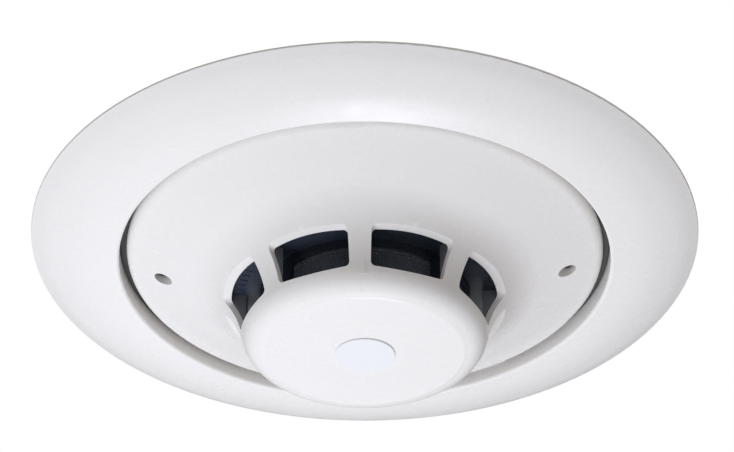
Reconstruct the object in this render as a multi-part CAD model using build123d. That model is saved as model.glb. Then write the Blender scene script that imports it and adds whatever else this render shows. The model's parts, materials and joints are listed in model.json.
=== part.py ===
"""Plug-in spot smoke detector: a twist-lock head in a flanged ceiling base.

Millimetres. The ceiling plane is z = 0 and the detector hangs below it, towards -Z.
The common axis of base and head is Z, and the origin is on the ceiling plane. Angles
are about +Z from +X. The nose rib that carries the mould mark faces -Y.
"""
import os
from math import atan2, cos, degrees, radians, tan

from build123d import *

# ---- driving dimensions -------------------------------------------------------------
# mounting base
FLANGE_RADIUS = 77.3
FLANGE_EDGE_DEPTH = 0.9      # the flange thins out to this at its edge
FLANGE_BACK_BEVEL = (1.0, 0.5)
FLANGE_CROWN = (66.5, -5.8)  # radius and height where its domed face turns steeper
FLANGE_CROWN_ROLL = 40.0
SHOULDER = (73.8, -2.9)
SHOULDER_ROLL = 20.0
LIP_RADIUS = 56.8
LIP_DEPTH = 6.9
LIP_ROLL = 0.7
POCKET_OUT = 71.5            # outer radius of the hollow behind the face
BASE_WALL = 2.0
BEAD_ANGLES = (60, 120, 240, 300)
BEAD_WIDTH_DEG = 10.0
BASE_FLOOR = 2.4             # floor thickness, so its lower face is at z = -2.4
CABLE_OPENING_RADIUS = 17.0
COLLAR_BOTTOM = -3.6
FLANGE_RIBS = 18
RABBET_RADIUS = 55.0         # the plate's ceiling side is cut back to this radius
RABBET_DEPTH = 1.1           # the flange's inner ledge sits in the cut
FIT_GAP = 0.1                # between the plate and the flange, all round

# screw slots for the ceiling box
WIDE_SPACING = 88.9          # across X
NARROW_SPACING = 69.85       # across Y
SLOT_HALF_WIDTH = 2.4
SEAT_HALF_WIDTH = 4.9
SEAT_TOP = -1.1
WIDE_SLOT_LENGTH = 10.0
NARROW_SLOT_LENGTH = 12.0

# twist lock
LOCK_ANGLES = (45, 165, 285)
HOOK_WIDTH_DEG = 20.0
STOP_WIDTH_DEG = 1.8
LUG_WIDTH_DEG = 13.0
HOOK_WALL_RADII = (35.0, 36.6)
HOOK_RADIUS = 39.6
HOOK_TOP = -4.8
HOOK_BOTTOM = -6.0
LUG_TOP = -3.6
LUG_BOTTOM = -4.6

# head cover
RIM_RADIUS = 55.2
RIM_TOP = -2.7
RIM_ROLL = 2.9
COVER_WALL = 1.3
CONE_SLOPE_DEG = 22.4
CONE_POINT = (53.0, -5.7)    # a radius and height that the cone passes through
NOSE_RADIUS = 28.27          # at NOSE_RADIUS_Z
NOSE_RADIUS_Z = -24.45
NOSE_DRAFT_DEG = 15.6
NOSE_FLARE = 19.0
NOSE_EDGE_ROLL = 5.2
NOSE_FACE_Z = -29.95
NOSE_CREASE = (22.6, 0.4)    # radius of the crease round the face, and its height above it
NOSE_CREASE_ROLL = 1.5
NOSE_BEVEL_DEG = 14.0        # slope of the face outside the crease
NOSE_FLAT_RADIUS = 9.0

# smoke windows in the nose: eight, with a rib in front
WINDOW_WIDTH_DEG = 35.4
WINDOW_ANGLES = (-67.5, -22.5, 22.5, 67.5, 112.5, 157.5, 202.5, 247.5)
WINDOW_MID_RADIUS = 30.0     # where the two heights below are measured
WINDOW_TOP = -16.45
WINDOW_BOTTOM = -25.9
WINDOW_TOP_RISE = 0.16       # slope of the upper face, rising outwards
WINDOW_BOTTOM_DROP = 0.45    # slope of the lower face, falling outwards
WINDOW_CORNER = 1.1
MARK_Z = -25.2
MARK_ANGLE = -88.0
RIB_ANGLES = tuple(45 * i for i in range(8))
RIB_WIDTH_DEG = 45 - WINDOW_WIDTH_DEG

# indicator lamps
LAMP_CENTRE = 46.8
LAMP_HOLE_MOUTH = 2.05       # the hole tapers from this radius at the cone's face
LAMP_HOLE_THROAT = 1.75      # to this one inside
LAMP_BOSS_RADIUS = 2.7
LAMP_BOSS_TOP = -5.2
LAMP_RADIUS = 1.5
LAMP_TIP = -6.9
LAMP_RIM_RADIUS = 1.9

# back plate of the head
PLATE_RADIUS = 53.2
PLATE_TOP = -2.9
PLATE_THICKNESS = 1.0
WELL_RADII = (40.0, 41.4)    # inside and outside of the well's wall
WELL_FLOOR = -6.6

# terminals and contacts
TERMINAL_ANGLES = (45, 135, 225, 315)
TERMINAL_WIDTH = 9.0
TERMINAL_SPAN = (18.6, 33.0)
TERMINAL_THICKNESS = 0.8
TERMINAL_SCREW_AT = 28.6
BLADE_SPAN = (19.6, 25.4)
BLADE_THICKNESS = 0.4

# circuit board
BOARD_RADIUS = 35.0
BOARD_TOP = -8.8
BOARD_THICKNESS = 1.6
BOARD_BOTTOM = BOARD_TOP - BOARD_THICKNESS

# optical chamber
CHAMBER_RADIUS = 24.0
CHAMBER_FLOOR = -12.4        # lower face of the chamber base disc
BAND_BOTTOM = -16.6
CAP_TOP = -25.6
CAP_BOTTOM = -27.2
DECK_TOP = -13.7             # annular deck between the chamber and the cover
DECK_BOTTOM = -14.7
DECK_MARKS = (189, 193, 197, 201, 205)
DECK_MARK_RADIUS = 28.6
LINER_RADIUS = 27.2
LINER_BOTTOM = -24.0
LINER_GAP = 0.15
VANE_COUNT = 20
EAR_ANGLES = (5, 125, 245)
EAR_RADIUS = 27.0
OPTICS_Z = -19.0
EMITTER_ANGLE = 160.0
RECEIVER_ANGLE = 20.0
OPTICS_LEADS_AT = 15.0        # radius where the legs of emitter and receiver stand
OPTICS_LEADS_SPREAD = 1.27

LABEL_RADIUS = 6.9
LABEL_THICKNESS = 0.35

os.makedirs("parts", exist_ok=True)


# ---- shared helpers -----------------------------------------------------------------
def at(radius, angle_deg, z=0.0):
    """Place something modelled along +X at a radius and an angle about Z."""
    return Rot(0, 0, angle_deg) * Pos(radius, 0, z)


def turned(points, rolls):
    """Solid of revolution of a closed (radius, z) outline with rounded corners."""
    outline = FilletPolyline(*points, radius=rolls, close=True)
    return revolve(Plane.XZ * make_face(outline), Axis.Z)


def tube(r_in, r_out, z_low, z_high):
    """Plain ring between two radii and two heights."""
    height = z_high - z_low
    return Pos(0, 0, z_low) * extrude(Circle(r_out) - Circle(r_in), height)


def rod(radius, z_low, z_high):
    """Plain vertical cylinder on the Z axis."""
    return Pos(0, 0, z_low) * extrude(Circle(radius), z_high - z_low)


def sector(r_in, r_out, z_low, z_high, mid_deg, width_deg):
    """Piece of a ring, centred on an angle about Z."""
    middle = ((r_in + r_out) / 2, (z_low + z_high) / 2)
    profile = Plane.XZ * Pos(*middle) * Rectangle(r_out - r_in, z_high - z_low)
    piece = revolve(profile, Axis.Z, revolution_arc=width_deg)
    start = piece.center()
    turn = mid_deg - degrees(atan2(start.Y, start.X))
    return Rot(0, 0, turn) * piece


def block(x_span, width, z_span):
    """Box along +X, centred on the XZ plane."""
    size = (x_span[1] - x_span[0], width, abs(z_span[1] - z_span[0]))
    return Pos(sum(x_span) / 2, 0, sum(z_span) / 2) * Box(*size)


def slot_cutter(centre, length, half_width, z_low, z_high):
    """Round-ended slot along +X, cut between two heights."""
    outline = SlotOverall(length, 2 * half_width)
    return Pos(centre, 0, z_low) * extrude(outline, z_high - z_low)


def wire(points, bend, radius):
    """Round wire through straight runs with rounded bends."""
    path = FilletPolyline(*points, radius=bend)
    section = Plane(path @ 0, z_dir=path % 0) * Circle(radius)
    return sweep(section, path)


def strip(points, thickness, width, bend):
    """Bent sheet-metal strip: a path in the XZ plane, thickened and given a width."""
    path = FilletPolyline(*points, radius=bend)
    ribbon = Plane.XZ * trace(path, thickness)
    return extrude(ribbon, width / 2, both=True)


def save(name, shape):
    export_step(shape, f"parts/{name}.step")


# ---- mounting base ------------------------------------------------------------------
def trim_flange():
    """Wide trim ring that hides the edge of the ceiling hole."""
    ledge_radius = RABBET_RADIUS + FIT_GAP
    ledge_z = FIT_GAP - RABBET_DEPTH
    bevel_in, bevel_depth = FLANGE_BACK_BEVEL
    pocket_in = LIP_RADIUS + BASE_WALL
    crown_radius, crown_z = FLANGE_CROWN
    fall = (SHOULDER[1] - crown_z) / (SHOULDER[0] - crown_radius)
    inner_z = BASE_WALL - LIP_DEPTH
    outer_z = crown_z + fall * (POCKET_OUT - crown_radius) + BASE_WALL
    ring = turned(
        [
            (ledge_radius, 0),
            (ledge_radius, ledge_z),
            (LIP_RADIUS, ledge_z),
            (LIP_RADIUS, -LIP_DEPTH),
            FLANGE_CROWN,
            SHOULDER,
            (FLANGE_RADIUS, -FLANGE_EDGE_DEPTH),
            (FLANGE_RADIUS, -bevel_depth),
            (FLANGE_RADIUS - bevel_in, 0),
            (POCKET_OUT, 0),
            (POCKET_OUT, outer_z),
            (crown_radius, crown_z + BASE_WALL),
            (pocket_in, inner_z),
            (pocket_in, 0),
        ],
        [0, 0, 0, LIP_ROLL, FLANGE_CROWN_ROLL, SHOULDER_ROLL, 0.3, 0, 0, 0, 0.5, 10.0, 0.5, 0],
    )

    rib_outline = Polyline(
        (pocket_in - 0.5, -0.4),
        (pocket_in - 0.5, inner_z - 0.5),
        (POCKET_OUT + 0.5, outer_z - 0.5),
        (POCKET_OUT + 0.5, -0.4),
        close=True,
    )
    rib = extrude(Plane.XZ * make_face(rib_outline), 0.8, both=True)
    for i in range(FLANGE_RIBS):
        ring += Rot(0, 0, (i + 0.5) * 360 / FLANGE_RIBS) * rib

    # beads that snap under the edge of the mounting plate
    top = -BASE_FLOOR - FIT_GAP
    for angle in BEAD_ANGLES:
        ring += sector(LIP_RADIUS - 0.5, LIP_RADIUS + 0.3, top - 0.5, top, angle, BEAD_WIDTH_DEG)
    return ring


def mounting_plate():
    """Plate that screws to the ceiling box, with the bayonet hooks for the head."""
    plate = turned(
        [
            (CABLE_OPENING_RADIUS, 0),
            (CABLE_OPENING_RADIUS, -BASE_FLOOR),
            (LIP_RADIUS - FIT_GAP, -BASE_FLOOR),
            (LIP_RADIUS - FIT_GAP, -RABBET_DEPTH),
            (RABBET_RADIUS, -RABBET_DEPTH),
            (RABBET_RADIUS, 0),
        ],
        [0, 0.6, 0.3, 0, 0, 0],
    )

    # raised collar round the cable opening, and the three bayonet hooks
    plate += tube(CABLE_OPENING_RADIUS, CABLE_OPENING_RADIUS + 1.2, COLLAR_BOTTOM, -BASE_FLOOR)
    wall_in, wall_out = HOOK_WALL_RADII
    foot = -BASE_FLOOR + 0.4
    for angle in LOCK_ANGLES:
        plate += sector(wall_in, wall_out, HOOK_BOTTOM, foot, angle, HOOK_WIDTH_DEG)
        plate += sector(wall_in, HOOK_RADIUS, HOOK_BOTTOM, HOOK_TOP, angle, HOOK_WIDTH_DEG)
        stop_angle = angle + (HOOK_WIDTH_DEG - STOP_WIDTH_DEG) / 2
        plate += sector(wall_in, HOOK_RADIUS, HOOK_TOP, foot, stop_angle, STOP_WIDTH_DEG)

    # screw slots; the wide pair has seats for low screw heads
    for angle in (0, 180):
        turn = Rot(0, 0, angle)
        centre = WIDE_SPACING / 2
        plate -= turn * slot_cutter(centre, WIDE_SLOT_LENGTH, SLOT_HALF_WIDTH, -5, 5)
        seat_length = WIDE_SLOT_LENGTH + 2 * (SEAT_HALF_WIDTH - SLOT_HALF_WIDTH)
        plate -= turn * slot_cutter(centre, seat_length, SEAT_HALF_WIDTH, -5, SEAT_TOP)
    for angle in (90, 270):
        turn = Rot(0, 0, angle)
        centre = NARROW_SPACING / 2
        plate -= turn * slot_cutter(centre, NARROW_SLOT_LENGTH, SLOT_HALF_WIDTH, -5, 5)

    # holes that take the terminal screws
    for angle in TERMINAL_ANGLES:
        plate -= at(TERMINAL_SCREW_AT, angle) * rod(1.55, -5, -0.5)
    return plate


def terminal():
    """Plate with a screw hole, whose inner end bends over into a contact spring."""
    inner, outer = TERMINAL_SPAN
    top = -BASE_FLOOR
    plate = block((inner, outer), TERMINAL_WIDTH, (top - TERMINAL_THICKNESS, top))
    plate = fillet(plate.edges().filter_by(Axis.Z), 0.8)
    plate -= Pos(TERMINAL_SCREW_AT, 0, 0) * rod(1.8, -5, 0)
    spring = strip(
        [(inner + 0.25, -2.9), (inner + 0.25, -5.2), (inner + 2.6, -5.75), (inner + 6.0, -5.2)],
        0.4,
        4.6,
        [0.6, 0.9],
    )
    return plate + spring


def clamp_washer():
    z_top = -BASE_FLOOR - TERMINAL_THICKNESS
    washer = block((TERMINAL_SCREW_AT - 3.6, TERMINAL_SCREW_AT + 3.6), 7.6, (z_top - 0.7, z_top))
    washer = fillet(washer.edges().filter_by(Axis.Z), 0.6)
    return washer - Pos(TERMINAL_SCREW_AT, 0, 0) * rod(1.8, -6, 0)


def terminal_screw():
    seat = -BASE_FLOOR - TERMINAL_THICKNESS - 0.7
    head = rod(3.3, seat - 1.6, seat)
    head = fillet(head.edges().group_by(Axis.Z)[0], 0.6)
    head -= Pos(0, 0, seat - 1.6) * Box(5.0, 0.8, 1.4)
    head -= Pos(0, 0, seat - 1.6) * Box(0.8, 5.0, 1.4)
    return Pos(TERMINAL_SCREW_AT, 0, 0) * (head + rod(1.5, seat, -0.8))


# ---- head cover ---------------------------------------------------------------------
def nose_side_radius(z):
    return NOSE_RADIUS + (z - NOSE_RADIUS_Z) * tan(radians(NOSE_DRAFT_DEG))


def cone_z(radius, raised=0.0):
    """Height of the cone's outer face, or of its inner face when raised by a wall."""
    lift = raised / cos(radians(CONE_SLOPE_DEG))
    return CONE_POINT[1] + lift - (CONE_POINT[0] - radius) * tan(radians(CONE_SLOPE_DEG))


def flare_corner(inset):
    """Where the straight cone and the straight nose side would meet."""
    draft = tan(radians(NOSE_DRAFT_DEG))
    slope = tan(radians(CONE_SLOPE_DEG))
    wall = inset / cos(radians(NOSE_DRAFT_DEG))
    base_z = cone_z(0, inset)
    side_at_zero = nose_side_radius(0) - wall
    z = (base_z + slope * side_at_zero) / (1 - slope * draft)
    return side_at_zero + draft * z, z


def nose_edge(crease, wall):
    """Where the nose side, less a wall, meets the bevel that rises from the crease."""
    draft = tan(radians(NOSE_DRAFT_DEG))
    bevel = tan(radians(NOSE_BEVEL_DEG))
    crease_radius, crease_z = crease
    reach = nose_side_radius(crease_z) - wall - crease_radius
    run = reach / (1 - bevel * draft)
    return crease_radius + run, crease_z + run * bevel


def cover_outline(inset):
    """Closed outline of the cover's outer body (inset 0) or of the space inside it."""
    corner = flare_corner(inset)
    rim = RIM_RADIUS - inset
    face_z = NOSE_FACE_Z + inset
    crease_radius, crease_rise = NOSE_CREASE
    crease = (crease_radius, face_z + crease_rise)
    wall = inset / cos(radians(NOSE_DRAFT_DEG))
    edge = nose_edge(crease, wall)
    top = RIM_TOP + inset
    points = [
        (0, top),
        (rim, top),
        (rim, cone_z(rim, inset)),
        corner,
        edge,
        crease,
        (NOSE_FLAT_RADIUS, face_z),
        (0, face_z),
    ]
    roll = max(NOSE_EDGE_ROLL - inset, 0.4)
    rim_roll = max(RIM_ROLL - inset, 0.3)
    return points, [0, 0, rim_roll, NOSE_FLARE + inset, roll, NOSE_CREASE_ROLL, 8.0, 0]


def window_cutter(angle):
    """Prism through the nose wall whose upper and lower faces slope outwards."""
    inner, outer = 21.0, 40.0

    def top(radius):
        return WINDOW_TOP + WINDOW_TOP_RISE * (radius - WINDOW_MID_RADIUS)

    def bottom(radius):
        return WINDOW_BOTTOM - WINDOW_BOTTOM_DROP * (radius - WINDOW_MID_RADIUS)

    outline = Polyline(
        (inner, bottom(inner)),
        (outer, bottom(outer)),
        (outer, top(outer)),
        (inner, top(inner)),
        close=True,
    )
    prism = extrude(Plane.XZ * make_face(outline), outer, both=True)
    opening = prism & sector(inner, outer, -40, 0, 0, WINDOW_WIDTH_DEG)
    radial = [e for e in opening.edges() if e.geom_type == GeomType.LINE and e.length > 15]
    return Rot(0, 0, angle) * fillet(radial, WINDOW_CORNER)


def lamp_hole():
    """Tapered hole from the cone's face to the top of the boss behind it."""
    past = 1.0
    mouth_z = cone_z(LAMP_CENTRE)
    depth = LAMP_BOSS_TOP - mouth_z
    taper = (LAMP_HOLE_MOUTH - LAMP_HOLE_THROAT) / depth
    hole = Cone(LAMP_HOLE_MOUTH + past * taper, LAMP_HOLE_THROAT - past * taper, depth + 2 * past)
    return Pos(LAMP_CENTRE, 0, mouth_z + depth / 2) * hole


def head_cover():
    cover = turned(*cover_outline(0)) - turned(*cover_outline(COVER_WALL))
    within_skin = turned(*cover_outline(COVER_WALL / 2))
    for angle in WINDOW_ANGLES:
        cover -= window_cutter(angle)
    for angle in (0, 180):
        boss = rod(LAMP_BOSS_RADIUS, cone_z(LAMP_CENTRE) - 1, LAMP_BOSS_TOP)
        cover += (at(LAMP_CENTRE, angle) * boss) & within_skin
        cover -= Rot(0, 0, angle) * lamp_hole()

    # snap beads that hold the back plate, and the mould mark on the front rib
    for angle in (60, 120, 240, 300):
        cover += sector(PLATE_RADIUS - 0.4, RIM_RADIUS - 1, RIM_TOP - 0.15, RIM_TOP, angle, 14)
    mark = Rot(0, NOSE_DRAFT_DEG, 0) * Box(0.5, 0.35, 2.4)
    return cover + at(nose_side_radius(MARK_Z) - 0.15, MARK_ANGLE, MARK_Z) * mark


def nose_label():
    disc = rod(LABEL_RADIUS, NOSE_FACE_Z - LABEL_THICKNESS, NOSE_FACE_Z)
    return fillet(disc.edges().group_by(Axis.Z)[0], 0.12)


# ---- back plate and contacts --------------------------------------------------------
def screw_places():
    return [(EAR_RADIUS, angle) for angle in EAR_ANGLES]


def back_plate():
    well_in, well_out = WELL_RADII
    floor_bottom = WELL_FLOOR - PLATE_THICKNESS
    plate = turned(
        [
            (0, WELL_FLOOR),
            (well_in, WELL_FLOOR),
            (well_in, PLATE_TOP),
            (PLATE_RADIUS, PLATE_TOP),
            (PLATE_RADIUS, PLATE_TOP - PLATE_THICKNESS),
            (well_out, PLATE_TOP - PLATE_THICKNESS),
            (well_out, floor_bottom),
            (0, floor_bottom),
        ],
        [0, 0.4, 0.4, 0.2, 0.2, 0.3, 0.8, 0],
    )
    for angle in LOCK_ANGLES:
        plate += sector(37.9, well_in + 0.3, LUG_BOTTOM, LUG_TOP, angle, LUG_WIDTH_DEG)
    for radius, angle in screw_places():
        place = at(radius, angle)
        plate += place * rod(3.2, BOARD_TOP, floor_bottom + 0.1)
        plate -= place * rod(2.3, WELL_FLOOR - 1.3, 0)
        plate -= place * rod(1.2, -12, 0)
    for angle in TERMINAL_ANGLES:
        plate -= at(22.5, angle) * Pos(0, 0, -8) * Box(0.8, 2.2, 6)
    return plate


def contact_blade():
    """Wiping pad on the plate's floor with a leg down to the circuit board."""
    pad = block(BLADE_SPAN, 6.0, (WELL_FLOOR, WELL_FLOOR + BLADE_THICKNESS))
    pad = fillet(pad.edges().filter_by(Axis.Z), 1.0)
    leg = block((22.2, 22.8), 2.0, (BOARD_BOTTOM + 0.1, WELL_FLOOR + 0.1))
    return pad + leg


# ---- circuit board ------------------------------------------------------------------
def circuit_board():
    board = rod(BOARD_RADIUS, BOARD_BOTTOM, BOARD_TOP)
    for radius, angle in screw_places():
        board -= at(radius, angle) * rod(1.3, -12, 0)
    for angle in TERMINAL_ANGLES:
        board -= at(22.5, angle) * Pos(0, 0, -9) * Box(0.8, 2.2, 6)
    for angle in (EMITTER_ANGLE, RECEIVER_ANGLE):
        for side in (-OPTICS_LEADS_SPREAD, OPTICS_LEADS_SPREAD):
            board -= at(OPTICS_LEADS_AT, angle) * Pos(0, side, 0) * rod(0.45, -12, 0)
    return board


def chip(radius, angle, length, width, height, legs):
    """Moulded package on the lower side of the board, long side along the tangent."""
    body = Pos(0, 0, BOARD_BOTTOM - 0.15 - height / 2) * Box(width, length, height)
    body = chamfer(body.edges().group_by(Axis.Z)[0], 0.25)
    for i in range(legs):
        y = (i - (legs - 1) / 2) * 1.27
        for side in (-1, 1):
            foot = Pos(side * (width / 2 + 0.45), y, BOARD_BOTTOM - 0.08) * Box(0.9, 0.4, 0.15)
            knee = Pos(side * (width / 2 + 0.08), y, BOARD_BOTTOM - 0.4) * Box(0.16, 0.4, 0.8)
            body += foot + knee
    return at(radius, angle) * body


def chip_part(radius, angle, length, width, height):
    """Two-ended surface-mount part on the lower side of the board."""
    return at(radius, angle) * Pos(0, 0, BOARD_BOTTOM - height / 2) * Box(width, length, height)


def reed_switch():
    """Glass capsule with a lead at each end, lying along the board's edge."""
    z = BOARD_BOTTOM - 0.85
    capsule = Rot(90, 0, 0) * extrude(Circle(0.8), 4.2, both=True)
    capsule = fillet(capsule.edges(), 0.7)
    for side in (-1, 1):
        capsule += wire(
            [(0, side * 4.0, 0), (0, side * 5.6, 0), (0, side * 5.6, 0.8)], [0.4], 0.22
        )
    return at(30.4, 275) * Pos(0, 0, z) * capsule


# ---- optical chamber ----------------------------------------------------------------
def chamber_base():
    """Black disc under the board, with three ears and the two optics holders."""
    disc = rod(CHAMBER_RADIUS, CHAMBER_FLOOR, BOARD_BOTTOM)
    for radius, angle in screw_places():
        place = at(radius, angle)
        disc += place * rod(2.4, -13.2, BOARD_BOTTOM)
        disc += Rot(0, 0, angle) * block((22.0, radius), 4.0, (CHAMBER_FLOOR, BOARD_BOTTOM))
    for radius, angle in screw_places():
        disc -= at(radius, angle) * rod(1.0, -12.9, 0)

    holder_top = CHAMBER_FLOOR + 0.2
    low = OPTICS_Z - 3.6
    emitter = block((9.0, 16.4), 7.4, (low, holder_top))
    emitter -= Pos(0, 0, OPTICS_Z) * Rot(0, 90, 0) * rod(2.6, 5.0, 14.6)
    emitter -= Pos(0, 0, OPTICS_Z) * Rot(0, 90, 0) * rod(3.1, 13.4, 20.0)
    receiver = block((9.0, 16.4), 8.6, (low, holder_top))
    receiver -= block((10.6, 20.0), 6.6, (low + 0.9, holder_top - 0.8))
    receiver -= Pos(0, 0, OPTICS_Z) * Rot(0, 90, 0) * rod(1.9, 5.0, 20.0)
    disc += Rot(0, 0, EMITTER_ANGLE) * emitter
    disc += Rot(0, 0, RECEIVER_ANGLE) * receiver

    # light trap between the two holders
    disc += at(8.5, 90) * block((-0.6, 0.6), 9.0, (low, holder_top))
    disc += at(3.0, 90) * block((-0.6, 0.6), 4.4, (low, holder_top))
    for angle in (EMITTER_ANGLE, RECEIVER_ANGLE):
        for side in (-OPTICS_LEADS_SPREAD, OPTICS_LEADS_SPREAD):
            disc -= at(OPTICS_LEADS_AT, angle) * Pos(0, side, 0) * rod(0.4, OPTICS_Z - 0.4, 0)
    return disc


def chamber_cover():
    """Labyrinth cage: closed upper band, vanes, posts and an end cap."""
    cage = tube(21.8, CHAMBER_RADIUS, BAND_BOTTOM, CHAMBER_FLOOR)
    cage += tube(23.0, CHAMBER_RADIUS + 0.35, BAND_BOTTOM, BAND_BOTTOM + 0.4)
    cage += rod(CHAMBER_RADIUS, CAP_BOTTOM, CAP_TOP)
    cage = fillet(cage.edges().group_by(Axis.Z)[0], 0.6)
    vane_outline = Polyline((18.2, -2.6), (20.4, 0.0), (22.3, -1.7), close=False)
    vane = extrude(trace(vane_outline, 0.7), CHAMBER_FLOOR - CAP_TOP)
    for i in range(VANE_COUNT):
        cage += Rot(0, 0, i * 360 / VANE_COUNT) * Pos(0, 0, CAP_TOP - 0.2) * vane
    for angle in RIB_ANGLES:
        cage += sector(23.2, CHAMBER_RADIUS, CAP_BOTTOM + 0.8, BAND_BOTTOM + 0.2, angle, 7.0)
    return cage


def cover_space():
    """What lies inside the cover, less a gap all round."""
    return turned(*cover_outline(COVER_WALL + LINER_GAP))


def chamber_deck():
    """Annular deck that closes the gap between the chamber and the cover."""
    deck = tube(CHAMBER_RADIUS + LINER_GAP, RIM_RADIUS, DECK_BOTTOM, DECK_TOP)
    for angle in DECK_MARKS:
        deck += at(DECK_MARK_RADIUS, angle) * Pos(0, 0, DECK_BOTTOM) * Box(1.9, 0.4, 0.3)
    return deck & cover_space()


def rib_liners():
    """Eight black strips that line the inside of the cover's ribs, below the deck."""
    space = cover_space()
    strips = [
        sector(LINER_RADIUS, RIM_RADIUS, LINER_BOTTOM, DECK_BOTTOM, angle, RIB_WIDTH_DEG) & space
        for angle in RIB_ANGLES
    ]
    return Compound(children=strips)


def insect_screen():
    return tube(22.75, 23.0, CAP_TOP + 0.05, BAND_BOTTOM - 0.05)


def ir_emitter():
    body = rod(2.5, 7.6, 13.2)
    body = fillet(body.edges().group_by(Axis.Z)[0], 2.3)
    body += rod(2.95, 13.4, 14.3) + rod(2.5, 13.0, 13.5)
    return Rot(0, 0, EMITTER_ANGLE) * Pos(0, 0, OPTICS_Z) * Rot(0, 90, 0) * body


def photodiode():
    body = Pos(13.2, 0, OPTICS_Z) * Box(2.6, 5.0, 4.6)
    lens = Pos(0, 0, OPTICS_Z) * Rot(0, 90, 0) * rod(1.7, 10.8, 12.4)
    lens = fillet(lens.edges().sort_by(Axis.X)[0], 1.2)
    return Rot(0, 0, RECEIVER_ANGLE) * (body + lens)


def receiver_shield():
    """Tinned screen folded over the back and sides of the photodiode."""
    outside = Pos(13.55, 0, OPTICS_Z) * Box(4.3, 6.2, 5.0)
    inside = Pos(13.2, 0, OPTICS_Z) * Box(4.4, 5.4, 5.6)
    return Rot(0, 0, RECEIVER_ANGLE) * (outside - inside)


def optics_leads(angle, start):
    """Two legs from a component in the chamber up through the board."""
    legs = []
    for side in (-OPTICS_LEADS_SPREAD, OPTICS_LEADS_SPREAD):
        corner = (OPTICS_LEADS_AT, side, OPTICS_Z)
        points = [(start, side, OPTICS_Z), corner, (OPTICS_LEADS_AT, side, BOARD_TOP + 0.5)]
        legs.append(Rot(0, 0, angle) * wire(points, [0.3], 0.25))
    return Compound(children=legs)


def chamber_screw():
    head_top = WELL_FLOOR - 0.1
    head = rod(2.1, head_top - 1.2, head_top)
    head = fillet(head.edges().group_by(Axis.Z)[-1], 0.4)
    head -= Pos(0, 0, head_top) * Box(2.8, 0.5, 1.2)
    head -= Pos(0, 0, head_top) * Box(0.5, 2.8, 1.2)
    return head + rod(0.95, -12.8, head_top - 1.2)


# ---- indicator lamps ----------------------------------------------------------------
def status_lamp():
    body = rod(LAMP_RADIUS, LAMP_TIP, -4.6)
    body = fillet(body.edges().group_by(Axis.Z)[0], 1.0)
    return Pos(LAMP_CENTRE, 0, 0) * (body + rod(LAMP_RIM_RADIUS, -5.1, -4.2))


def lamp_leads():
    """Two wires from the lamp, round the back plate's well, to the board's edge."""
    legs = []
    for side in (-1.0, 1.0):
        points = [
            (LAMP_CENTRE - 1.6, side, -4.65),
            (41.95, side, -4.65),
            (41.95, side, -7.95),
            (33.4, side, -7.95),
            (33.4, side, BOARD_TOP),
        ]
        legs.append(wire(points, [0.35, 0.35, 0.35], 0.2))
    return Compound(children=legs)


# ---- write every piece --------------------------------------------------------------
def write_base():
    save("trim_flange", trim_flange())
    save("mounting_plate", mounting_plate())
    for number, angle in enumerate(TERMINAL_ANGLES, 1):
        save(f"terminal_{number}", Rot(0, 0, angle) * terminal())
    washers = [Rot(0, 0, angle) * clamp_washer() for angle in TERMINAL_ANGLES]
    save("clamp_washers", Compound(children=washers))
    screws = [Rot(0, 0, angle) * terminal_screw() for angle in TERMINAL_ANGLES]
    save("terminal_screws", Compound(children=screws))


def write_head():
    save("head_cover", head_cover())
    save("nose_label", nose_label())
    save("back_plate", back_plate())
    for number, angle in enumerate(TERMINAL_ANGLES, 1):
        save(f"contact_blade_{number}", Rot(0, 0, angle) * contact_blade())
    screws = [at(radius, angle) * chamber_screw() for radius, angle in screw_places()]
    save("chamber_screws", Compound(children=screws))
    for name, angle in (("right", 0), ("left", 180)):
        save(f"status_lamp_{name}", Rot(0, 0, angle) * status_lamp())
        save(f"lamp_leads_{name}", Rot(0, 0, angle) * lamp_leads())


def write_board():
    save("circuit_board", circuit_board())
    save("microcontroller", chip(29.2, 215, 8.7, 3.9, 1.5, 7))
    save("amplifier", chip(29.0, 62, 4.9, 3.9, 1.5, 4))
    save("bridge_rectifier", chip(29.0, 325, 4.9, 3.9, 1.3, 2))
    save("reed_switch", reed_switch())
    capacitors = [chip_part(29.4, angle, 6.0, 3.2, 1.9) for angle in (88, 106)]
    save("tantalum_capacitors", Compound(children=capacitors))
    resistor_angles = (146, 154, 162, 170, 185, 193, 293, 301)
    resistors = [chip_part(28.2, angle, 2.0, 1.25, 0.5) for angle in resistor_angles]
    save("chip_resistors", Compound(children=resistors))


def write_chamber():
    save("chamber_base", chamber_base())
    save("chamber_cover", chamber_cover())
    save("chamber_deck", chamber_deck())
    save("rib_liners", rib_liners())
    save("insect_screen", insect_screen())
    save("ir_emitter", ir_emitter())
    save("emitter_leads", optics_leads(EMITTER_ANGLE, 14.35))
    save("photodiode", photodiode())
    save("photodiode_leads", optics_leads(RECEIVER_ANGLE, 14.55))
    save("receiver_shield", receiver_shield())


write_base()
write_head()
write_board()
write_chamber()
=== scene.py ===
"""Looks of the ceiling smoke detector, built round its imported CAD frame.

Metres, in the frame's own axes: the ceiling plane is z = 0 and the detector hangs
below it. The nose's front rib faces -Y. Angles are about +Z from +X.
"""

import json
from math import cos, pi, radians, sin

import bmesh
import bpy
from mathutils import Matrix, Vector


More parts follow.
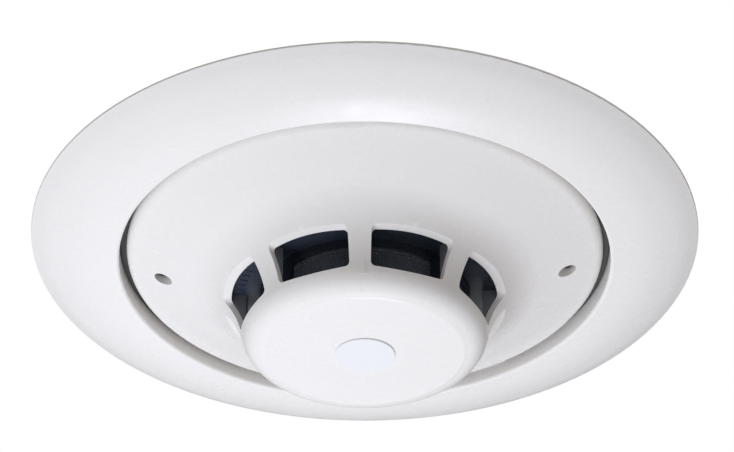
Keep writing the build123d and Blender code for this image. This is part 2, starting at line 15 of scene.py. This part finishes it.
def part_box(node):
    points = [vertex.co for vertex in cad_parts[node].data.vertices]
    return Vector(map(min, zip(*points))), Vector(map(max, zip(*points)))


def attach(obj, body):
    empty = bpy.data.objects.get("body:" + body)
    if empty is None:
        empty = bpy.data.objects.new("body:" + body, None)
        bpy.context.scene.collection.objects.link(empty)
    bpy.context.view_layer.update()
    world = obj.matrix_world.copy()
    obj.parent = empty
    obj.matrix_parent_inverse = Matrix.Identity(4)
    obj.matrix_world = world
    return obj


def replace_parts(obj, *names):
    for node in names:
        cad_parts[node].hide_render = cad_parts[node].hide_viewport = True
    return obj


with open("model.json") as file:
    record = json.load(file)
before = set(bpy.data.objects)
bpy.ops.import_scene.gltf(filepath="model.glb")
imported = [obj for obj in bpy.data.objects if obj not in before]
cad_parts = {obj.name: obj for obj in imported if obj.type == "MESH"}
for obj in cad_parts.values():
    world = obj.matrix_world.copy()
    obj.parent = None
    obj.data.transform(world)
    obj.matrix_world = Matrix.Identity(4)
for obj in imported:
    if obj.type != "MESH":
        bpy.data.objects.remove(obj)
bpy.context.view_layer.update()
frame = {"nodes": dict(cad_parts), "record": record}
MM = 0.001

# ---- place of the insect screen, taken from the frame -------------------------------
SCREEN_LOW, SCREEN_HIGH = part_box("insect_screen")

# ---- mesh and hem of the screen -----------------------------------------------------
MESH_PITCH = 0.40 * MM
WIRE_HALF = 0.085 * MM       # half the thickness of a mesh wire
MESH_INSET = 0.16 * MM       # from the CAD ring's outside to the middle of the mesh
HEM_HALF = 0.13 * MM         # half the thickness of the hem wire
HEM_DROP = 0.15 * MM         # below the top of the mesh
HEM_SEGMENTS = 160
HEM_OUTSET = 0.02 * MM       # of hem and welds past the CAD ring's outside
WELD_PITCH = 0.74 * MM
WELD_RADIUS = 0.16 * MM
WELD_DROP = 1.0 * MM         # below the top of the mesh

# ---- off-white moulding -------------------------------------------------------------
WHITE = (0.86, 0.835, 0.80)
WHITE_BACK = (0.76, 0.755, 0.74)
SPECK_CELLS = 210.0          # cells per metre, each with room for one speck
SPECK_FREE_SHARE = 0.93      # share of the cells that stay empty
SPECK_RADII = (0.02, 0.055)  # in cells: full inside the first, gone past the second
SPECK_DEPTH = 0.30           # share of SPECK_GREY in the middle of a speck
SPECK_GREY = (0.30, 0.29, 0.28, 1.0)

# ---- camera, as fitted to a frame that is 734 pixels wide ---------------------------
FRAME_WIDTH = 734.0
FOCAL_PIXELS = 3000.0
SENSOR_WIDTH = 36.0
CAMERA_DISTANCE = 0.6982
CAMERA_AZIMUTH = radians(2.1)
CAMERA_DROP = radians(34.405)
ORIGIN_LEFT = 2.2            # pixels from the middle of the frame to the row origin
ORIGIN_BELOW = 19.58
CLIP_NEAR, CLIP_FAR = 0.01, 20.0

# ---- stage and light ----------------------------------------------------------------
FLOOR_Z = -0.62
FLOOR_RADIUS = 4.0
FLOOR_SEGMENTS = 96
FILL_TINT, FILL_STRENGTH = (0.98, 0.94, 0.95), 0.275
# name, place, size, watts, tint, seen in reflections
LIGHTS = (
    ("key", (-0.24, 0.02, -0.55), 0.42, 2.50, (0.83, 0.890, 1.0), False),
    ("far_panel", (0.0, 0.446, -0.40), 0.60, 0.30, (0.83, 0.890, 1.0), True),
    ("far_spark", (0.0, 0.34, -0.50), 0.10, 0.30, (0.88, 0.92, 1.0), True),
    ("top", (0.3, -0.2, 1.2), 0.8, 11.0, (0.96, 0.95, 0.98), True),
)


# ---- node helpers -------------------------------------------------------------------
class Nodes:
    """Short way to add and join shader nodes in one material or world."""

    def __init__(self, owner):
        owner.use_nodes = True
        self.tree = owner.node_tree
        self.tree.nodes.clear()

    def add(self, kind, **inputs):
        node = self.tree.nodes.new(kind)
        for key, value in inputs.items():
            self.put(node, key, value)
        return node

    def put(self, node, key, value):
        """Set or link an input, by its name or by its number as i0, i1 and so on."""
        by_number = key[0] == "i" and key[1:].isdigit()
        socket = node.inputs[int(key[1:])] if by_number else node.inputs[key]
        if isinstance(value, bpy.types.NodeSocket):
            self.tree.links.new(value, socket)
        else:
            socket.default_value = value

    def math(self, operation, a, b=None):
        node = self.tree.nodes.new("ShaderNodeMath")
        node.operation = operation
        self.put(node, "i0", a)
        if b is not None:
            self.put(node, "i1", b)
        return node.outputs[0]

    def span(self, value, low, high, out_low=0.0, out_high=1.0, smooth=False):
        """Map low..high to out_low..out_high, clamped."""
        node = self.tree.nodes.new("ShaderNodeMapRange")
        node.interpolation_type = "SMOOTHSTEP" if smooth else "LINEAR"
        node.clamp = True
        for i, item in enumerate((value, low, high, out_low, out_high)):
            self.put(node, f"i{i}", item)
        return node.outputs[0]

    def mix(self, factor, a, b):
        """Mix two colours."""
        node = self.tree.nodes.new("ShaderNodeMix")
        node.data_type = "RGBA"
        self.put(node, "i0", factor)
        self.put(node, "i6", a)
        self.put(node, "i7", b)
        return node.outputs[2]

    def noise(self, scale, detail=2.0, roughness=0.5, vector=None):
        node = self.add("ShaderNodeTexNoise", Scale=scale, Detail=detail, Roughness=roughness)
        self.put(node, "Vector", vector or self.place())
        return node.outputs[0]

    def place(self):
        """Object position, which is the same in every piece at rest."""
        if not hasattr(self, "_place"):
            self._place = self.tree.nodes.new("ShaderNodeTexCoord").outputs["Object"]
        return self._place

    def bump(self, height, strength, distance, normal=None):
        node = self.add("ShaderNodeBump", Strength=strength, Distance=distance, Height=height)
        if normal is not None:
            self.put(node, "Normal", normal)
        return node.outputs[0]


def colour(red, green, blue):
    return (red, green, blue, 1.0)


def shaded(tint, factor):
    return colour(*(channel * factor for channel in tint))


def surface(name, **sockets):
    """Material with one Principled shader. Returns (material, nodes, shader)."""
    material = bpy.data.materials.new(name)
    nodes = Nodes(material)
    shader = nodes.add("ShaderNodeBsdfPrincipled")
    output = nodes.tree.nodes.new("ShaderNodeOutputMaterial")
    nodes.tree.links.new(shader.outputs[0], output.inputs[0])
    for key, value in sockets.items():
        shader.inputs[key.replace("_", " ")].default_value = value
    return material, nodes, shader


# ---- materials ----------------------------------------------------------------------
def moulded_white(name, tint, grain_scale=2400.0, gloss=0.26, seed=0.0):
    """Off-white satin moulding: fine spark grain, faint flow mottling, stray dark specks."""
    material, n, shader = surface(name, IOR=1.49)
    shift = n.add("ShaderNodeVectorMath", i0=n.place(), i1=(seed, seed * 0.7, seed * 1.3))
    shift.operation = "ADD"
    where = shift.outputs[0]
    flow = n.noise(scale=22.0, detail=3.0, roughness=0.55, vector=where)
    mottle = n.span(flow, low=0.2, high=0.8, smooth=True)
    base = n.mix(mottle, shaded(tint, 0.972), colour(*tint))
    cloud = n.noise(scale=160.0, vector=where)
    patches = n.span(cloud, low=0.2, high=0.8, out_high=0.35, smooth=True)
    base = n.mix(patches, base, shaded(tint, 0.985))

    cells = n.add("ShaderNodeTexVoronoi", Scale=SPECK_CELLS, Vector=where)
    full, gone = SPECK_RADII
    spot = n.span(cells.outputs["Distance"], full, gone, out_low=1.0, out_high=0.0)
    pick = n.add("ShaderNodeSeparateColor", Color=cells.outputs["Color"])
    chosen = n.math("GREATER_THAN", pick.outputs[0], SPECK_FREE_SHARE)
    speck = n.math("MULTIPLY", n.math("MULTIPLY", spot, chosen), SPECK_DEPTH)
    n.put(shader, "Base Color", n.mix(speck, base, SPECK_GREY))

    roughness = n.span(cloud, 0.15, 0.85, gloss - 0.03, gloss + 0.05, smooth=True)
    n.put(shader, "Roughness", roughness)
    wave = n.noise(scale=70.0, detail=1.0, vector=where)
    sink = n.bump(wave, strength=0.03, distance=0.4 * MM)
    grain = n.noise(grain_scale, roughness=0.6, vector=where)
    n.put(shader, "Normal", n.bump(grain, strength=0.06, distance=0.03 * MM, normal=sink))
    return material


def moulded_dark(name, tint, gloss):
    """Dark or grey moulding with flow marks and a fine texture."""
    material, n, shader = surface(name, IOR=1.5)
    cloud = n.noise(scale=260.0, detail=3.0, roughness=0.6)
    n.put(shader, "Base Color", n.mix(cloud, colour(*tint), shaded(tint, 1.5)))
    n.put(shader, "Roughness", n.span(cloud, 0.3, 0.7, gloss, gloss + 0.12))
    grain = n.noise(scale=3200.0, roughness=0.6)
    n.put(shader, "Normal", n.bump(grain, strength=0.12, distance=0.03 * MM))
    return material


def metal(name, tint, gloss):
    """Plated or rolled metal with fine scratches and uneven tarnish."""
    material, n, shader = surface(name, Metallic=1.0)
    stretched = n.add("ShaderNodeMapping", Vector=n.place(), Scale=(1.0, 0.06, 1.0))
    scratches = n.noise(3600.0, detail=3.0, roughness=0.7, vector=stretched.outputs[0])
    cloud = n.noise(scale=420.0, detail=3.0, roughness=0.6)
    tarnish = n.span(cloud, low=0.35, high=0.8)
    n.put(shader, "Base Color", n.mix(tarnish, colour(*tint), shaded(tint, 0.72)))
    n.put(shader, "Roughness", n.span(scratches, 0.2, 0.8, gloss, gloss + 0.18))
    n.put(shader, "Normal", n.bump(scratches, strength=0.15, distance=0.02 * MM))
    return material


def epoxy(name, tint, gloss, clear=0.0):
    """Cast or moulded epoxy with slight cloudiness."""
    material, n, shader = surface(name, IOR=1.53, Transmission_Weight=clear)
    cloud = n.noise(scale=1500.0)
    n.put(shader, "Base Color", n.mix(cloud, colour(*tint), shaded(tint, 0.7)))
    n.put(shader, "Roughness", n.span(cloud, 0.3, 0.7, gloss, gloss + 0.08))
    grain = n.noise(scale=5200.0)
    n.put(shader, "Normal", n.bump(grain, strength=0.08, distance=0.02 * MM))
    return material


def board_laminate():
    """Green solder mask over copper tracks, with slight cloudiness."""
    material, n, shader = surface("circuit_laminate", Coat_Weight=0.3, Coat_Roughness=0.15)
    tracks = n.add("ShaderNodeTexBrick", Scale=260.0, Vector=n.place())
    n.put(tracks, "Mortar Size", 0.035)
    track = tracks.outputs["Fac"]
    mask = n.mix(track, colour(0.012, 0.110, 0.045), colour(0.030, 0.210, 0.085))
    cloud = n.noise(scale=700.0, detail=3.0, roughness=0.6)
    patches = n.span(cloud, low=0.3, high=0.8, out_high=0.4)
    n.put(shader, "Base Color", n.mix(patches, mask, colour(0.02, 0.15, 0.06)))
    n.put(shader, "Roughness", n.span(cloud, 0.3, 0.7, 0.28, 0.42))
    n.put(shader, "Normal", n.bump(track, strength=0.3, distance=0.03 * MM))
    return material


def label_film():
    """Plain white film without any print, faintly uneven."""
    material, n, shader = surface("label_film_white", IOR=1.5, Specular_IOR_Level=0.12)
    cloud = n.noise(scale=2600.0, roughness=0.6)
    tone = n.mix(cloud, colour(0.80, 0.80, 0.80), colour(0.84, 0.84, 0.84))
    n.put(shader, "Base Color", tone)
    n.put(shader, "Roughness", n.span(n.noise(scale=500.0), 0.3, 0.7, 0.30, 0.38))
    grain = n.noise(scale=3800.0)
    n.put(shader, "Normal", n.bump(grain, strength=0.06, distance=0.02 * MM))
    return material


def reed_glass():
    material, n, shader = surface("reed_tube_glass", IOR=1.5, Transmission_Weight=0.9)
    cloud = n.noise(scale=900.0)
    tint = n.mix(cloud, colour(0.72, 0.86, 0.80), colour(0.84, 0.92, 0.88))
    n.put(shader, "Base Color", tint)
    n.put(shader, "Roughness", n.span(cloud, 0.3, 0.7, 0.04, 0.12))
    return material


def assign_materials():
    """Give every carried-over CAD node the finish of its slot. Returns the finishes."""
    made = {
        "cover_plastic": moulded_white("cover_satin_white", WHITE, seed=0.11),
        "base_plastic": moulded_white("base_satin_white", WHITE, seed=0.37),
        "back_plastic": moulded_white("back_satin_white", WHITE_BACK, 1500.0, 0.5, 0.53),
        # the near-black plate is painted shade: seen only down the gap between flange lip and
        # head, it is coloured dark for the shade there
        "plate_plastic": moulded_dark("plate_grey_painted_gap_shade", (0.045, 0.042, 0.040), 0.50),
        "chamber_plastic": moulded_dark("chamber_blue_black", (0.020, 0.026, 0.036), 0.24),
        "deck_plastic": moulded_dark("deck_slate_blue", (0.028, 0.036, 0.051), 0.24),
        # the grey of the rib liners is painted shade: a tone that stands for the insides of the
        # white ribs in shade
        "liner_plastic": moulded_dark("liner_grey_painted_rib_shade", (0.16, 0.17, 0.19), 0.34),
        "screen_mesh": moulded_dark("coated_mesh", (0.12, 0.14, 0.17), 0.34),
        "label_film": label_film(),
        "screw_steel": metal("zinc_plate", (0.62, 0.61, 0.57), 0.28),
        "terminal_metal": metal("nickel_strip", (0.66, 0.63, 0.57), 0.24),
        "blade_metal": metal("rolled_brass", (0.80, 0.62, 0.32), 0.26),
        "board_laminate": board_laminate(),
        "chip_epoxy": epoxy("chip_black_epoxy", (0.022, 0.022, 0.024), 0.48),
        "capacitor_epoxy": epoxy("capacitor_amber_epoxy", (0.66, 0.36, 0.06), 0.4),
        "resistor_ceramic": epoxy("resistor_glaze", (0.03, 0.03, 0.035), 0.3),
        "reed_glass": reed_glass(),
        "emitter_epoxy": epoxy("emitter_violet_epoxy", (0.06, 0.05, 0.14), 0.12, 0.3),
        "photodiode_epoxy": epoxy("photodiode_filter_epoxy", (0.05, 0.02, 0.03), 0.14, 0.2),
        "tinned_steel": metal("tinned_sheet", (0.74, 0.73, 0.70), 0.22),
        "tinned_wire": metal("tinned_wire_metal", (0.76, 0.75, 0.72), 0.2),
        # near-black red: partly the unlit lamp's own dark red, partly painted shade for the
        # depth of its hole
        "lamp_red": epoxy("lamp_red_epoxy_painted_hole_shade", (0.020, 0.008, 0.007), 0.2),
    }
    for part in frame["record"]["subparts"]:
        node = frame["nodes"][part["node"]]
        node.data.materials.clear()
        node.data.materials.append(made[part["material_slot"]])
    return made


# ---- pieces made here ---------------------------------------------------------------
def polar(radius, angle, z):
    return Vector((radius * cos(angle), radius * sin(angle), z))


def new_object(name, mesh_builder, material):
    """Object whose mesh is filled by mesh_builder, placed at the row origin."""
    mesh = bpy.data.meshes.new(name)
    bm = bmesh.new()
    mesh_builder(bm)
    bmesh.ops.recalc_face_normals(bm, faces=bm.faces)
    bm.to_mesh(mesh)
    bm.free()
    mesh.materials.append(material)
    made_object = bpy.data.objects.new(name, mesh)
    bpy.context.scene.collection.objects.link(made_object)
    return made_object


def new_piece(name, mesh_builder, material, body):
    piece = new_object(name, mesh_builder, material)
    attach(piece, body)
    return piece


def bridge(bm, near, far):
    """Four faces between two squares of vertices."""
    for k in range(4):
        bm.faces.new((near[k], near[(k + 1) % 4], far[(k + 1) % 4], far[k]))


def closed_loop_wire(bm, points, half):
    """Square-section wire along a closed loop of points round the Z axis."""
    squares = []
    for p in points:
        out = Vector((p.x, p.y, 0)).normalized() * half
        up = Vector((0, 0, half))
        corners = (out + up, up - out, -out - up, out - up)
        squares.append([bm.verts.new(p + corner) for corner in corners])
    for i, square in enumerate(squares):
        bridge(bm, square, squares[(i + 1) % len(squares)])


def upright_wire(bm, radius, angle, heights, weave, half):
    """Upright mesh wire that passes in front of and behind the hoops in turn."""
    across = Vector((-sin(angle), cos(angle), 0)) * half
    out = Vector((cos(angle), sin(angle), 0)) * half
    rows = []
    for i, z in enumerate(heights):
        p = polar(radius + (weave if i % 2 else -weave), angle, z)
        rows.append([bm.verts.new(p + d) for d in (across, out, -across, -out)])
    for lower, upper in zip(rows, rows[1:]):
        bridge(bm, lower, upper)
    bm.faces.new(rows[0][::-1])
    bm.faces.new(rows[-1])


def woven_screen(material):
    """Fine woven mesh that stands for the plain ring of the CAD frame."""
    radius = SCREEN_HIGH.x - MESH_INSET
    uprights = 2 * round(pi * radius / MESH_PITCH)
    bottom, top = SCREEN_LOW.z + WIRE_HALF, SCREEN_HIGH.z - WIRE_HALF
    gaps = round((top - bottom) / MESH_PITCH)
    heights = [bottom + (top - bottom) * row / gaps for row in range(gaps + 1)]
    angles = [2 * pi * i / uprights for i in range(uprights)]

    def build(bm):
        for row, z in enumerate(heights):
            phase = WIRE_HALF if row % 2 else -WIRE_HALF
            loop = []
            for i, angle in enumerate(angles):
                bow = phase if i % 2 else -phase
                loop.append(polar(radius + bow, angle, z))
            closed_loop_wire(bm, loop, WIRE_HALF)
        for i, angle in enumerate(angles):
            weave = -WIRE_HALF if i % 2 else WIRE_HALF
            upright_wire(bm, radius, angle, heights, weave, WIRE_HALF)

    screen = new_piece("woven_insect_screen", build, material, "head")
    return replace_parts(screen, "insect_screen")


def screen_hem(material):
    """Wire hem along the top of the mesh, and a row of small round welds below it."""
    radius = SCREEN_HIGH.x + HEM_OUTSET
    welds = round(2 * pi * radius / WELD_PITCH)

    def build(bm):
        hem_z = SCREEN_HIGH.z - HEM_DROP
        hoop = [polar(radius, 2 * pi * i / HEM_SEGMENTS, hem_z) for i in range(HEM_SEGMENTS)]
        closed_loop_wire(bm, hoop, HEM_HALF)
        for i in range(welds):
            middle = polar(radius, 2 * pi * i / welds, SCREEN_HIGH.z - WELD_DROP)
            place = Matrix.Translation(middle)
            bmesh.ops.create_icosphere(bm, subdivisions=1, radius=WELD_RADIUS, matrix=place)

    return new_piece("screen_hem_welds", build, material, "head")


# ---- stage, light and camera --------------------------------------------------------
def aim(thing, direction):
    """Turn a camera or lamp, which looks along its own -Z, to look along direction."""
    thing.rotation_mode = "QUATERNION"
    thing.rotation_quaternion = direction.to_track_quat("-Z", "Y")


def make_camera():
    data = bpy.data.cameras.new("camera")
    data.sensor_width = SENSOR_WIDTH
    data.lens = SENSOR_WIDTH * FOCAL_PIXELS / FRAME_WIDTH
    data.clip_start, data.clip_end = CLIP_NEAR, CLIP_FAR
    camera = bpy.data.objects.new("camera", data)
    bpy.context.scene.collection.objects.link(camera)
    side = Vector((cos(CAMERA_AZIMUTH), sin(CAMERA_AZIMUTH), 0))
    level = Vector((sin(CAMERA_AZIMUTH), -cos(CAMERA_AZIMUTH), 0))
    back = level * cos(CAMERA_DROP) - Vector((0, 0, sin(CAMERA_DROP)))
    up = level * sin(CAMERA_DROP) + Vector((0, 0, cos(CAMERA_DROP)))
    per_pixel = CAMERA_DISTANCE / FOCAL_PIXELS
    target = side * ORIGIN_LEFT * per_pixel + up * ORIGIN_BELOW * per_pixel
    camera.location = back * CAMERA_DISTANCE
    aim(camera, target - camera.location)
    bpy.context.scene.camera = camera


def area_light(name, place, size, power, tint, mirrored):
    """Round lamp aimed at the row origin, hidden from the camera itself."""
    data = bpy.data.lights.new(name, "AREA")
    data.shape = "DISK"
    data.size = size
    data.energy = power
    data.color = tint
    lamp = bpy.data.objects.new(name, data)
    bpy.context.scene.collection.objects.link(lamp)
    lamp.location = place
    aim(lamp, -lamp.location)
    lamp.visible_camera = False
    lamp.visible_glossy = mirrored


def make_world():
    """White to the eye, and a dimmer fill as light."""
    world = bpy.data.worlds.new("studio")
    bpy.context.scene.world = world
    n = Nodes(world)
    seen = n.add("ShaderNodeBackground", Color=colour(1, 1, 1), Strength=1.0)
    fill = n.add("ShaderNodeBackground", Color=colour(*FILL_TINT), Strength=FILL_STRENGTH)
    path = n.tree.nodes.new("ShaderNodeLightPath")
    mixed = n.tree.nodes.new("ShaderNodeMixShader")
    output = n.tree.nodes.new("ShaderNodeOutputWorld")
    n.tree.links.new(path.outputs["Is Camera Ray"], mixed.inputs[0])
    n.tree.links.new(fill.outputs[0], mixed.inputs[1])
    n.tree.links.new(seen.outputs[0], mixed.inputs[2])
    n.tree.links.new(mixed.outputs[0], output.inputs[0])


def make_stage():
    """Pale paper floor below the detector."""
    material, n, shader = surface("floor_paper", Roughness=0.8)
    shade = n.mix(n.noise(scale=6.0), colour(0.90, 0.90, 0.90), colour(0.92, 0.92, 0.92))
    n.put(shader, "Base Color", shade)

    def build(bm):
        bmesh.ops.create_circle(bm, cap_ends=True, segments=FLOOR_SEGMENTS, radius=FLOOR_RADIUS)

    floor = new_object("floor", build, material)
    floor.location.z = FLOOR_Z


def make_lights():
    for row in LIGHTS:
        area_light(*row)
    bpy.context.scene.view_settings.view_transform = "Standard"


made = assign_materials()
woven_screen(made["screen_mesh"])
screen_hem(metal("hem_steel", (0.62, 0.64, 0.67), 0.35))
make_world()
make_stage()
make_lights()
make_camera()
